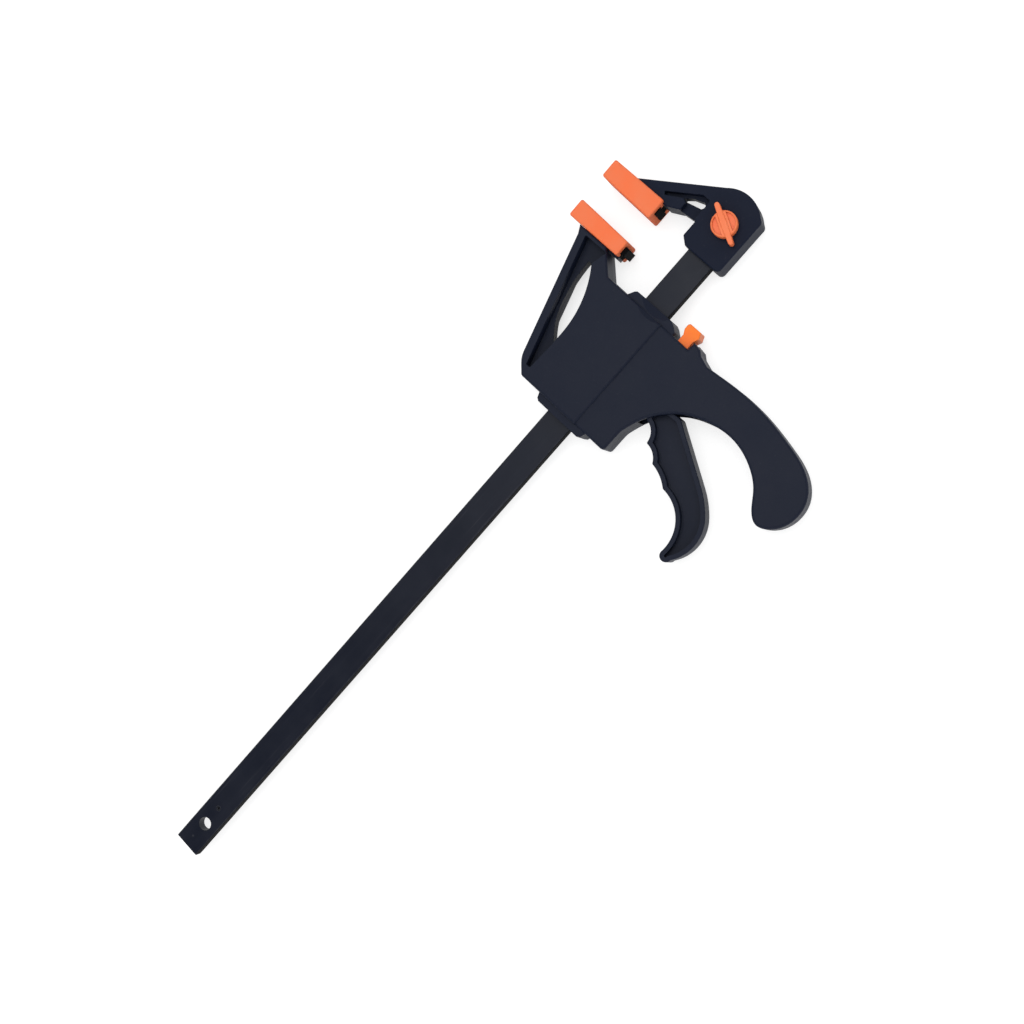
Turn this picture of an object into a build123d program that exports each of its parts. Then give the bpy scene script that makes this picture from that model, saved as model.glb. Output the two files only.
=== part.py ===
from build123d import *
import os
from math import cos, radians, sin, tan

os.makedirs("parts", exist_ok=True)

# Frame: the origin is the centre of the hole at the bar's free end, +X runs along the bar to
# the fixed jaw, +Y points to the side that the jaws stand on, +Z is the side of the wing knob.

# --- bar ---
bar_width = 14.0
bar_thick = 5.0
bar_length = 404.8
bar_chamfer = 0.4
bar_hole_dia = 6.5
end_hole_inset = 14.8
head_hole_inset = 11.5
stop_pin_dia = 2.4
stop_pin_bore = 1.3
stop_pin_offset = 10.8
stop_pin_proud = 1.0
bar_fit = 0.15
half_bar = bar_width / 2
half_bar_thick = bar_thick / 2

# --- clearances ---
running_fit = 0.05
slip_gap = 0.1
cheek_gap = 0.25

# --- fixed jaw, measured from the axis of its clamping screw ---
head_wall = 4.0
head_rear = 17.8
head_rim = 5.1
head_under = 4.7
head_round = 16.4
head_web = 5.0
jaw_setback = 10.2
jaw_rise = 41.0
head_edge = 0.8
head_corner = 1.0
heel_corner = 2.2
head_x = bar_length - end_hole_inset - head_hole_inset
half_head = half_bar_thick + head_wall

# --- clamping screw, wing knob, washer and nut ---
screw_dia = 5.9
screw_fit = 0.35
screw_socket = 1.8
thread_fit = 0.07
washer_dia = 11.4
washer_thick = 1.0
knob_dia = 12.1
knob_thick = 3.6
knob_rim = 0.8
knob_band = 5.0
knob_scoop = 1.2
wing_length = 20.4
wing_root = 3.0
wing_width = 2.3
wing_height = 0.5
wing_angle = 62.0
nut_flats = 10.0
nut_thick = 3.1
nut_gap = 0.15

# --- jaw pads and the T-shaped feet that they slide onto ---
pad_thick = 8.6
pad_length = 30.1
pad_rise = 21.8
pad_lean = 2.0
pad_edge = 1.0
pad_hook = 1.3
pad_lip = 1.9
pad_end_wall = 2.2
foot_thick = 3.9
foot_root = 1.5
moving_root = 1.8
foot_width = 12.0
neck_width = 7.2
fixed_overhang = 0.5
moving_overhang = 2.2
rest_gap = 13.7

# --- body of the moving jaw, measured from the end face of its rear collar ---
side_cover = 6.5
face_step = 1.0
body_edge = 1.2
rear_corner = 1.8
shoulder_reach = 9.7
shoulder_rise = 24.9
shoulder_round = 12.0
crease_drop = 1.5
shell_wall = 2.0
edge_wall = 2.4
collar_reach = 3.5
collar_wall = 4.5
body_front = 62.8
lip_reach = 3.9
arm_reach = 72.2
arm_rise = 44.8
arm_web = 6.0
chamber_rise = 7.5
half_body = half_bar_thick + side_cover
half_grip = half_body - face_step
half_cavity = half_grip - shell_wall
half_collar = half_bar_thick + collar_wall
pad_span = 2 * half_body
carriage_x = head_x - jaw_setback - 2 * pad_thick - rest_gap - arm_reach

# --- trigger ---
pivot_reach = 32.0
pivot_drop = 20.0
pivot_dia = 4.0
pivot_boss = 11.0
nose_reach = 14.0
nose_radius = 3.0
nose_arm = 4.0
squeeze_angle = 22.0
trigger_rim = 2.2
trigger_web = 3.5
trigger_edge = 0.6
pin_seat = 1.2
half_trigger = half_cavity - cheek_gap

# --- drive plates and their spring ---
drive_plate_thick = 2.5
drive_plate_drop = 8.0
plate_count = 2
drive_spring_dia = 7.0
drive_wire = 0.9
drive_coils = 8
spring_drop = 5.5
spigot_length = 3.0

# --- brake plate, its spring and the release button ---
brake_reach = 51.0
brake_thick = 3.0
brake_tilt = 4.0
brake_drop = 20.0
fulcrum_rise = 4.5
brake_top = 2.0
fulcrum_radius = 1.0
brake_spring_dia = 6.0
brake_wire = 0.7
brake_coils = 4.5
brake_spring_drop = 9.0
spring_rib = 2.2
spring_rib_reach = 40.2
button_width = 10.0
button_stem = 5.6
button_rim = 1.4
button_drop = 11.0
button_reach = 71.4
button_head = 3.1
button_flare = 2.5
button_gap = 0.4
button_heel = 2.4
button_lip = 1.4

# --- screws that join the two half shells ---
case_screw_dia = 2.9
case_head_dia = 5.6
case_head_thick = 1.5
case_head_seat = 6.2
case_screw_fit = 0.1
case_screw_depth = 5.5
cross_length = 3.0
cross_width = 0.8
cross_depth = 0.8
boss_radius = 3.3

# --- body details: the trigger's opening, the coring pockets and the scoop over the bar ---
mouth_start = 23.5
core_first = 19.5
core_pitch = 11.0
core_count = 4
core_rise = 12.9
core_tall = 5.0
button_travel = 2.6
scoop_radius = 19.8
scoop_reach = 11.5
scoop_height = 23.0


def above(rise):
    """Height of a point that lies so far above the bar's upper edge."""
    return half_bar + rise


def below(drop):
    """Height of a point that lies so far below the bar's lower edge."""
    return -half_bar - drop


def body_plane(z=0):
    """XY plane of the moving jaw: x starts at the end face of the rear collar."""
    return Plane(origin=(carriage_x, 0, z))


def head_plane(z=0):
    """XY plane of the fixed jaw: x starts at the axis of the clamping screw."""
    return Plane(origin=(head_x, 0, z))


def cross_plane(x):
    """Plane across the bar that looks along +X: local x is Y and local y is Z."""
    return Plane(origin=(x, 0, 0), x_dir=(0, 1, 0), z_dir=(1, 0, 0))


def finish(builder, label):
    builder.part.label = label
    export_step(builder.part, f"parts/{label}.step")


# ---------------------------------------------------------------- bar and stop pin
with BuildPart() as bar:
    with BuildSketch(cross_plane(-end_hole_inset)):
        Rectangle(bar_width, bar_thick)
        chamfer(vertices(), length=bar_chamfer)
    extrude(amount=bar_length)
    with Locations((0, 0, 0), (head_x, 0, 0)):
        Hole(radius=bar_hole_dia / 2)
    with Locations((stop_pin_offset, 0, 0)):
        Hole(radius=stop_pin_dia / 2 + running_fit)
finish(bar, "bar")

with BuildPart() as bar_stop_pin:
    with BuildSketch(Plane(origin=(stop_pin_offset, 0, -half_bar_thick - stop_pin_proud))):
        Circle(stop_pin_dia / 2)
        Circle(stop_pin_bore / 2, mode=Mode.SUBTRACT)
    extrude(amount=bar_thick + stop_pin_proud - slip_gap)
finish(bar_stop_pin, "bar_stop_pin")

# ---------------------------------------------------------------- fixed jaw
hub_top = half_bar + head_rim
hub_base = -half_bar - head_under
jaw_tip = above(jaw_rise)
pad_base = above(pad_rise)
fixed_neck = jaw_tip - foot_root
moving_neck = above(arm_rise - moving_root)


def make_foot(face_x, side, neck_top, overhang):
    """T-shaped foot on a jaw's face: a neck, and a wider plate that the pad slides over."""
    foot_top = pad_base + pad_length - pad_end_wall - slip_gap
    foot_base = pad_base - overhang
    plate_centre = pad_lip + slip_gap + foot_thick / 2
    with BuildPart() as foot:
        with BuildSketch(Plane(origin=(face_x, 0, -neck_width / 2))):
            with Locations((side * (plate_centre - 1) / 2, (neck_top + pad_base) / 2)):
                Rectangle(plate_centre + 1, neck_top - pad_base)
        extrude(amount=neck_width)
        with BuildSketch(Plane(origin=(face_x, 0, -foot_width / 2))):
            with Locations((side * plate_centre, (foot_top + foot_base) / 2)):
                Rectangle(foot_thick, foot_top - foot_base)
        extrude(amount=foot_width)
    return foot.part


with BuildPart() as fixed_jaw:
    with BuildSketch(head_plane(-half_head)) as head_outline:
        with BuildLine():
            Polyline(
                (10.8, hub_base),
                (-head_rear, hub_base),
                (-head_rear, hub_top - 3.7),
                (-head_rear + 3.0, hub_top),
                (-6.5, hub_top),
                (-7.4, above(14.0)),
                (-jaw_setback, above(19.8)),
                (-jaw_setback, jaw_tip),
                (12.9, hub_top - 0.8),
            )
            ThreePointArc((12.9, hub_top - 0.8), (head_round, -0.3), (12.6, hub_base + 2.4))
            Line((12.6, hub_base + 2.4), (10.8, hub_base))
        make_face()
        heel = vertices().filter_by(lambda v: v.X < head_x - head_rear + 1 and v.Y < 0)
        fillet(heel, heel_corner)
        fillet([v for v in vertices() if v.Y > hub_top - 5 and v.Y < jaw_tip - 1], head_corner)
    extrude(amount=2 * half_head)
    fillet(faces().sort_by(Axis.Z)[-1].edges() + faces().sort_by(Axis.Z)[0].edges(), head_edge)
    # Pocket on each side that leaves the outer flange, the pad block and a thin web.
    for side in (1, -1):
        with BuildSketch(head_plane(side * head_web / 2)):
            with BuildLine():
                Polyline(
                    (-5.4, above(25.2)),
                    (4.0, above(10.2)),
                    (4.0, above(6.4)),
                    (3.3, above(5.8)),
                    (-9.5, above(5.8)),
                    (-9.5, above(14.0)),
                    (-3.4, above(14.0)),
                    (-2.6, above(16.2)),
                    (-6.8, above(24.0)),
                    close=True,
                )
            make_face()
        extrude(amount=side * half_head, mode=Mode.SUBTRACT)
    # Slit through the web.
    with BuildSketch(head_plane()):
        with BuildLine():
            Polyline(
                (-2.2, above(17.0)),
                (-2.8, above(15.2)),
                (-1.0, above(7.6)),
                (0.8, above(6.6)),
                (2.2, above(8.2)),
                (0.4, above(13.6)),
                close=True,
            )
        make_face()
        fillet(vertices(), 0.5)
    extrude(amount=half_head, both=True, mode=Mode.SUBTRACT)
    # Slot for the bar, open at both ends, the screw hole and the nut's pocket.
    with BuildSketch(cross_plane(head_x - head_rear - 1)):
        Rectangle(bar_width + 2 * slip_gap, bar_thick + 2 * slip_gap)
    extrude(amount=head_rear + head_round + 2, mode=Mode.SUBTRACT)
    with Locations((head_x, 0, 0)):
        Hole(radius=screw_dia / 2 + screw_fit)
    with BuildSketch(head_plane(-half_head)):
        RegularPolygon(nut_flats / 2 + slip_gap, 6, major_radius=False)
    extrude(amount=nut_thick + nut_gap + slip_gap, mode=Mode.SUBTRACT)
    add(make_foot(head_x - jaw_setback, -1, fixed_neck, fixed_overhang))
finish(fixed_jaw, "fixed_jaw")


def make_pad(face_x, side, neck_top, hook):
    """Jaw pad: a leaning block with a T-slot that is open at its lower end. The hook is how far
    its cheeks reach back along the sides of the jaw, and its upper end over the jaw's tip."""
    shift = pad_length / 2 * tan(radians(pad_lean))
    clamp_x = face_x + side * pad_thick
    back_x = face_x + side * slip_gap
    with BuildPart() as pad:
        with BuildSketch(Plane.XY.offset(-half_body)):
            with BuildLine():
                Polyline(
                    (back_x - side * hook, pad_base),
                    (clamp_x - shift, pad_base),
                    (clamp_x + shift, pad_base + pad_length),
                    (back_x - side * hook, pad_base + pad_length),
                    close=True,
                )
            make_face()
        extrude(amount=pad_span)
        fillet(edges(), pad_edge)
        slot_plane = Plane(origin=(0, pad_base - 1, 0), x_dir=(1, 0, 0), z_dir=(0, 1, 0))
        with BuildSketch(slot_plane):
            with Locations((face_x + side * (pad_lip + slip_gap + foot_thick / 2), 0)):
                Rectangle(foot_thick + 2 * slip_gap, foot_width + 2 * slip_gap)
        extrude(amount=pad_length - pad_end_wall + 1, mode=Mode.SUBTRACT)
        with BuildSketch(slot_plane):
            with Locations((face_x + side * pad_lip / 2, 0)):
                Rectangle(pad_lip + 2 * slip_gap + 1, neck_width + 2 * slip_gap)
        extrude(amount=neck_top + slip_gap - pad_base + 1, mode=Mode.SUBTRACT)
        if hook > 0:
            with BuildSketch(Plane.XY.offset(-half_head - slip_gap)):
                with Locations((back_x - side * hook, pad_base - 1)):
                    aside = (Align.MIN if side > 0 else Align.MAX, Align.MIN)
                    Rectangle(hook, jaw_tip + slip_gap - pad_base + 1, align=aside)
            extrude(amount=2 * (half_head + slip_gap), mode=Mode.SUBTRACT)
    return pad


fixed_jaw_pad = make_pad(head_x - jaw_setback, -1, fixed_neck, pad_hook)
finish(fixed_jaw_pad, "fixed_jaw_pad")
moving_jaw_pad = make_pad(carriage_x + arm_reach, 1, moving_neck, 0)
finish(moving_jaw_pad, "moving_jaw_pad")

# ---------------------------------------------------------------- clamping screw
knob_base = half_head + washer_thick + 2 * running_fit
with BuildPart() as knob_washer:
    with BuildSketch(head_plane(half_head + running_fit)):
        Circle(washer_dia / 2)
        Circle(screw_dia / 2 + screw_fit / 2, mode=Mode.SUBTRACT)
    extrude(amount=washer_thick)
finish(knob_washer, "knob_washer")

with BuildPart() as head_screw:
    with BuildSketch(head_plane(-half_head + nut_gap)):
        Circle(screw_dia / 2)
    extrude(amount=half_head - nut_gap + knob_base + screw_socket)
    chamfer(faces().sort_by(Axis.Z)[0].edges(), 0.6)
finish(head_screw, "head_screw")

with BuildPart() as jaw_nut:
    with BuildSketch(head_plane(-half_head + nut_gap)):
        RegularPolygon(nut_flats / 2, 6, major_radius=False)
        Circle(screw_dia / 2 + thread_fit, mode=Mode.SUBTRACT)
    extrude(amount=nut_thick)
finish(jaw_nut, "jaw_nut")

wing_reach = (wing_length - wing_width) / 2
wing_end = (wing_reach * cos(radians(wing_angle)), wing_reach * sin(radians(wing_angle)))
wing_ends = [wing_end, (-wing_end[0], -wing_end[1])]
with BuildPart() as head_knob:
    with BuildSketch(head_plane(knob_base)):
        Circle(knob_dia / 2)
    extrude(amount=knob_thick)
    fillet(faces().sort_by(Axis.Z)[-1].edges(), 0.8)
    with BuildSketch(head_plane(knob_base)):
        Circle(wing_root / 2)
        with Locations(*wing_ends):
            Circle(wing_width / 2)
        make_hull()
    extrude(amount=knob_thick + wing_height)
    fillet(faces().sort_by(Axis.Z)[-1].edges(), 0.4)
    # Scoop for the fingers on each side of the band that carries the wings.
    with BuildSketch(head_plane(knob_base + knob_thick - knob_scoop)):
        Circle(knob_dia / 2 - knob_rim)
        with Locations(Location((0, 0, 0), (0, 0, wing_angle))):
            Rectangle(knob_dia, knob_band, mode=Mode.SUBTRACT)
    extrude(amount=knob_thick, mode=Mode.SUBTRACT)
    with BuildSketch(head_plane(knob_base)):
        Circle(screw_dia / 2 + running_fit)
    extrude(amount=screw_socket + slip_gap, mode=Mode.SUBTRACT)
finish(head_knob, "head_knob")

# ---------------------------------------------------------------- trigger and its pin
pivot_x = carriage_x + pivot_reach
pivot_y = below(pivot_drop)
rest_lean = radians(squeeze_angle / 2)
nose = (pivot_reach + nose_reach * sin(rest_lean), pivot_y + nose_reach * cos(rest_lean))


def from_pivot(dx, dy):
    """Point on the trigger, measured from its pivot."""
    return (pivot_reach + dx, pivot_y + dy)


# Blade with three finger grooves in front, a hooked tip and a smooth back.
with BuildSketch(body_plane()) as blade:
    with BuildLine():
        ThreePointArc(from_pivot(-5.0, -4.2), from_pivot(-7.1, -8.9), from_pivot(-12.8, -11.5))
        ThreePointArc(from_pivot(-12.8, -11.5), from_pivot(-13.9, -15.9), from_pivot(-17.9, -19.8))
        ThreePointArc(from_pivot(-17.9, -19.8), from_pivot(-19.5, -25.6), from_pivot(-22.9, -31.0))
        ThreePointArc(from_pivot(-22.9, -31.0), from_pivot(-27.0, -42.3), from_pivot(-43.7, -49.3))
        ThreePointArc(from_pivot(-43.7, -49.3), from_pivot(-46.7, -51.8), from_pivot(-43.9, -55.1))
        belly = ThreePointArc(
            from_pivot(-43.9, -55.1), from_pivot(-31.2, -58.7), from_pivot(-19.5, -53.8)
        )
        rise = TangentArc(belly @ 1, from_pivot(-10.7, -43.1), tangent=belly % 1)
        back = PolarLine(rise @ 1, 31.5, direction=rise % 1)
        Polyline(back @ 1, from_pivot(4.6, -1.0), from_pivot(-5.0, -4.2))
    make_face()
    fillet([v for v in vertices() if v.X < pivot_x - 8 and v.Y > pivot_y - 48], 0.8)
with BuildSketch() as recess:
    add(blade.sketch)
    offset(amount=-trigger_rim)

with BuildPart() as trigger:
    extrude(blade.sketch, amount=half_trigger, both=True)
    fillet(faces().sort_by(Axis.Z)[-1].edges() + faces().sort_by(Axis.Z)[0].edges(), trigger_edge)
    # Recess between the rim flanges, on each side of a thin web.
    for side in (1, -1):
        floor = recess.sketch.moved(Location((0, 0, side * trigger_web / 2)))
        extrude(floor, amount=side * half_trigger, mode=Mode.SUBTRACT)
    # Pivot boss, and the arm whose round nose pushes the drive plates.
    with BuildSketch(body_plane(-half_trigger)):
        with Locations((pivot_reach, pivot_y)):
            Circle(pivot_boss / 2)
        with Locations(nose):
            Circle(nose_radius)
        arm_middle = ((pivot_reach + nose[0]) / 2, (pivot_y + nose[1]) / 2, 0)
        with Locations(Location(arm_middle, (0, 0, -squeeze_angle / 2))):
            Rectangle(nose_arm, nose_reach)
    extrude(amount=2 * half_trigger)
    with Locations((pivot_x, pivot_y, 0)):
        Hole(radius=pivot_dia / 2 + running_fit)
finish(trigger, "trigger")

with BuildPart() as trigger_pin:
    with BuildSketch(Plane(origin=(pivot_x, pivot_y, -half_cavity - pin_seat))):
        Circle(pivot_dia / 2)
    extrude(amount=2 * (half_cavity + pin_seat))
    chamfer(edges().filter_by(GeomType.CIRCLE), 0.3)
finish(trigger_pin, "trigger_pin")

# ---------------------------------------------------------------- drive plates and spring
chamber_top = above(chamber_rise)
rear_wall = collar_reach + edge_wall
drive_face = carriage_x + nose[0] - nose_radius - slip_gap
drive_back = drive_face - plate_count * drive_plate_thick
plate_base = below(drive_plate_drop)
plate_top = chamber_top - cheek_gap


def make_drive_plate(face_x):
    """Flat plate across the bar, with a slot that the bar passes through."""
    with BuildPart() as plate:
        with BuildSketch(cross_plane(face_x)):
            with Locations(((plate_top + plate_base) / 2, 0)):
                Rectangle(plate_top - plate_base, 2 * half_trigger)
            fillet(vertices(), 0.8)
            Rectangle(bar_width + 2 * bar_fit, bar_thick + 2 * bar_fit, mode=Mode.SUBTRACT)
        extrude(amount=-drive_plate_thick)
    return plate


for number in range(plate_count):
    drive_plate = make_drive_plate(drive_face - number * drive_plate_thick)
    finish(drive_plate, f"drive_plate_{number + 1}")


def make_spring(start_x, end_x, height, outer_dia, wire, coils):
    """Coil spring along the bar, between two faces that its ends nearly touch."""
    first = start_x + slip_gap + wire / 2
    length = end_x - slip_gap - wire / 2 - first
    mean_radius = (outer_dia - wire) / 2
    with BuildPart() as spring:
        with BuildLine() as path:
            Helix(length / coils, length, mean_radius, center=(first, height, 0), direction=(1, 0, 0))
        with BuildSketch(Plane(origin=path.line @ 0, z_dir=path.line % 0)):
            Circle(wire / 2)
        sweep()
    return spring


drive_spring_y = below(spring_drop)
drive_spring = make_spring(
    carriage_x + rear_wall, drive_back, drive_spring_y, drive_spring_dia, drive_wire, drive_coils
)
finish(drive_spring, "drive_spring")

# ---------------------------------------------------------------- brake plate, spring, button
tilt = radians(brake_tilt)
fulcrum_x = carriage_x + brake_reach
fulcrum_y = above(fulcrum_rise)
into_plate = (-cos(tilt), -sin(tilt), 0)
plate_length = (fulcrum_y - below(brake_drop)) / cos(tilt)
slot_middle = -(fulcrum_y - brake_thick / 2 * sin(tilt)) / cos(tilt)
slot_height = 2 * (half_bar + bar_fit + brake_thick / 2 * sin(tilt)) / cos(tilt)
face_plane = Plane(origin=(fulcrum_x, fulcrum_y, 0), x_dir=(0, 0, 1), z_dir=into_plate)

with BuildPart() as brake_plate:
    with BuildSketch(face_plane):
        with Locations((0, (brake_top - plate_length) / 2)):
            Rectangle(2 * half_trigger, brake_top + plate_length)
        fillet(vertices(), 0.8)
        with Locations((0, slot_middle)):
            Rectangle(bar_thick + 2 * bar_fit, slot_height, mode=Mode.SUBTRACT)
    extrude(amount=brake_thick)
finish(brake_plate, "brake_plate")


def brake_face(y):
    """X of the brake plate's front face at height y."""
    return fulcrum_x + (fulcrum_y - y) * tan(tilt)


brake_spring_y = below(brake_spring_drop)
spring_rib_x = carriage_x + spring_rib_reach
brake_spring = make_spring(
    spring_rib_x + spring_rib,
    brake_face(brake_spring_y) - brake_thick / cos(tilt) - slip_gap,
    brake_spring_y,
    brake_spring_dia,
    brake_wire,
    brake_coils,
)
finish(brake_spring, "brake_spring")

button_tip = carriage_x + button_reach
button_top = below(button_drop)
stem_base = button_top - button_stem
foot_y = below(brake_drop) - button_gap
heel_x = brake_face(foot_y) + button_heel
with BuildPart() as release_button:
    with BuildSketch(Plane.XY.offset(-button_width / 2)):
        with BuildLine():
            Polyline(
                (brake_face(button_top) + running_fit, button_top),
                (button_tip - button_head - button_flare, button_top),
                (button_tip - button_head, button_top + button_rim),
                (button_tip - 0.9, button_top + button_rim),
                (button_tip, button_top + button_rim / 2),
                (button_tip, stem_base),
                (button_tip - button_head + 0.3, stem_base - button_rim + 0.2),
                (button_tip - button_head - button_flare, stem_base),
                (heel_x, stem_base - 0.6),
                (heel_x, foot_y - button_lip),
                (brake_face(foot_y) - brake_thick, foot_y - button_lip),
                (brake_face(foot_y) - brake_thick, foot_y),
                (brake_face(foot_y) + running_fit, foot_y),
                close=True,
            )
        make_face()
    extrude(amount=button_width)
    outer = edges().filter_by(lambda e: e.center().X > button_tip - button_head + 0.5)
    fillet(outer, 0.5)
finish(release_button, "release_button")

# ---------------------------------------------------------------- half shells of the body
screw_spots = [
    (10.0, above(12.5)),
    (56.5, above(12.5)),
    (10.5, below(13.0)),
    (55.5, below(35.0)),
    (55.0, below(65.0)),
    (41.0, below(92.0)),
]
# The lens-shaped opening in the arm: its lower edge is also the edge of the arm's pocket.
lens_front = (body_front - 0.5, above(28.0))
lens_top = (body_front - 0.5, above(31.8))
lens_middle = (45.0, above(19.3))
lens_rear = (30.0, above(17.2))
lens_tip = (22.5, above(17.2))
front_inner = body_front - edge_wall
core_height = above(core_rise)

# Points of the grip, as reach along the bar and drop below it: the edge towards the fixed jaw,
# the butt, and the edge that faces the trigger and runs on under the body.
grip_front = [(63.8, 49.0), (63.2, 64.0), (60.4, 80.0), (55.5, 94.3)]
grip_butt = [(47.4, 101.9), (37.4, 103.3), (28.3, 98.8), (25.2, 92.2), (29.0, 86.4)]
grip_back = [(35.6, 81.4), (42.7, 71.6), (46.0, 59.0), (44.0, 45.7)]
grip_back += [(38.6, 34.4), (32.0, 27.6), (24.6, 22.8), (17.1, 20.1)]

with BuildSketch() as body_outline:
    with BuildLine():
        Polyline(
            (collar_reach + 4, below(19.5)),
            (collar_reach, below(19.5)),
            (collar_reach, above(19.0)),
            (shoulder_reach, above(shoulder_rise)),
            (arm_reach - 3.7, above(arm_rise - 2.1)),
            (arm_reach, above(arm_rise)),
            (arm_reach, above(28.2)),
            (body_front, above(18.1)),
            (body_front - 0.6, below(17.7)),
            (body_front + 3.5, below(17.9)),
            (body_front + 2.9, below(22.0)),
            (body_front + 1.0, below(24.3)),
            (body_front - 0.7, below(29.5)),
        )
        Spline(
            (body_front - 0.7, below(29.5)),
            *[(x, below(drop)) for x, drop in grip_front + grip_butt + grip_back],
            (collar_reach + 4, below(19.5)),
            tangents=((0.1, -1), (-1, 0)),
        )
    make_face()
    fillet([v for v in vertices() if v.X < collar_reach + 1], rear_corner)
    fillet(vertices().filter_by(lambda v: abs(v.X - shoulder_reach) < 0.1), shoulder_round)

with BuildSketch() as grip_core:
    with BuildLine():
        Polyline(
            *[(x - edge_wall, below(drop - edge_wall / 2)) for x, drop in grip_front],
            *[(x + edge_wall, below(drop + edge_wall / 2)) for x, drop in grip_back[:3]],
            close=True,
        )
    make_face()
    with Locations(*screw_spots):
        Circle(boss_radius, mode=Mode.SUBTRACT)

with BuildSketch() as upper_outline:
    add(body_outline.sketch)
    with Locations((0, below(crease_drop))):
        upper_size = (2 * arm_reach, 2 * above(jaw_rise))
        Rectangle(*upper_size, align=(Align.MIN, Align.MIN), mode=Mode.INTERSECT)


def one_side(solid, side):
    """The half of a solid that lies on one side of the parting plane."""
    keep = Keep.TOP if side > 0 else Keep.BOTTOM
    return split(solid, bisect_by=Plane.XY, keep=keep, mode=Mode.PRIVATE)


def outer_faces(builder, side):
    """Outermost flat face of a half shell."""
    return builder.faces().sort_by(Axis.Z)[-1 if side > 0 else 0]


def make_upper(side):
    """Raised upper part of a half shell, with its own rounded border."""
    with BuildPart() as upper:
        extrude(upper_outline.sketch.moved(body_plane().location), amount=side * half_body)
        fillet(outer_faces(upper, side).edges(), body_edge)
    return upper.part


def make_spigot(start, height, radius):
    """Round peg on a wall across the bar, inside the end of a spring."""
    with BuildPart() as spigot:
        with BuildSketch(cross_plane(start - 1)):
            with Locations((height, 0)):
                Circle(radius)
        extrude(amount=spigot_length + 1)
    return spigot.part


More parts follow.
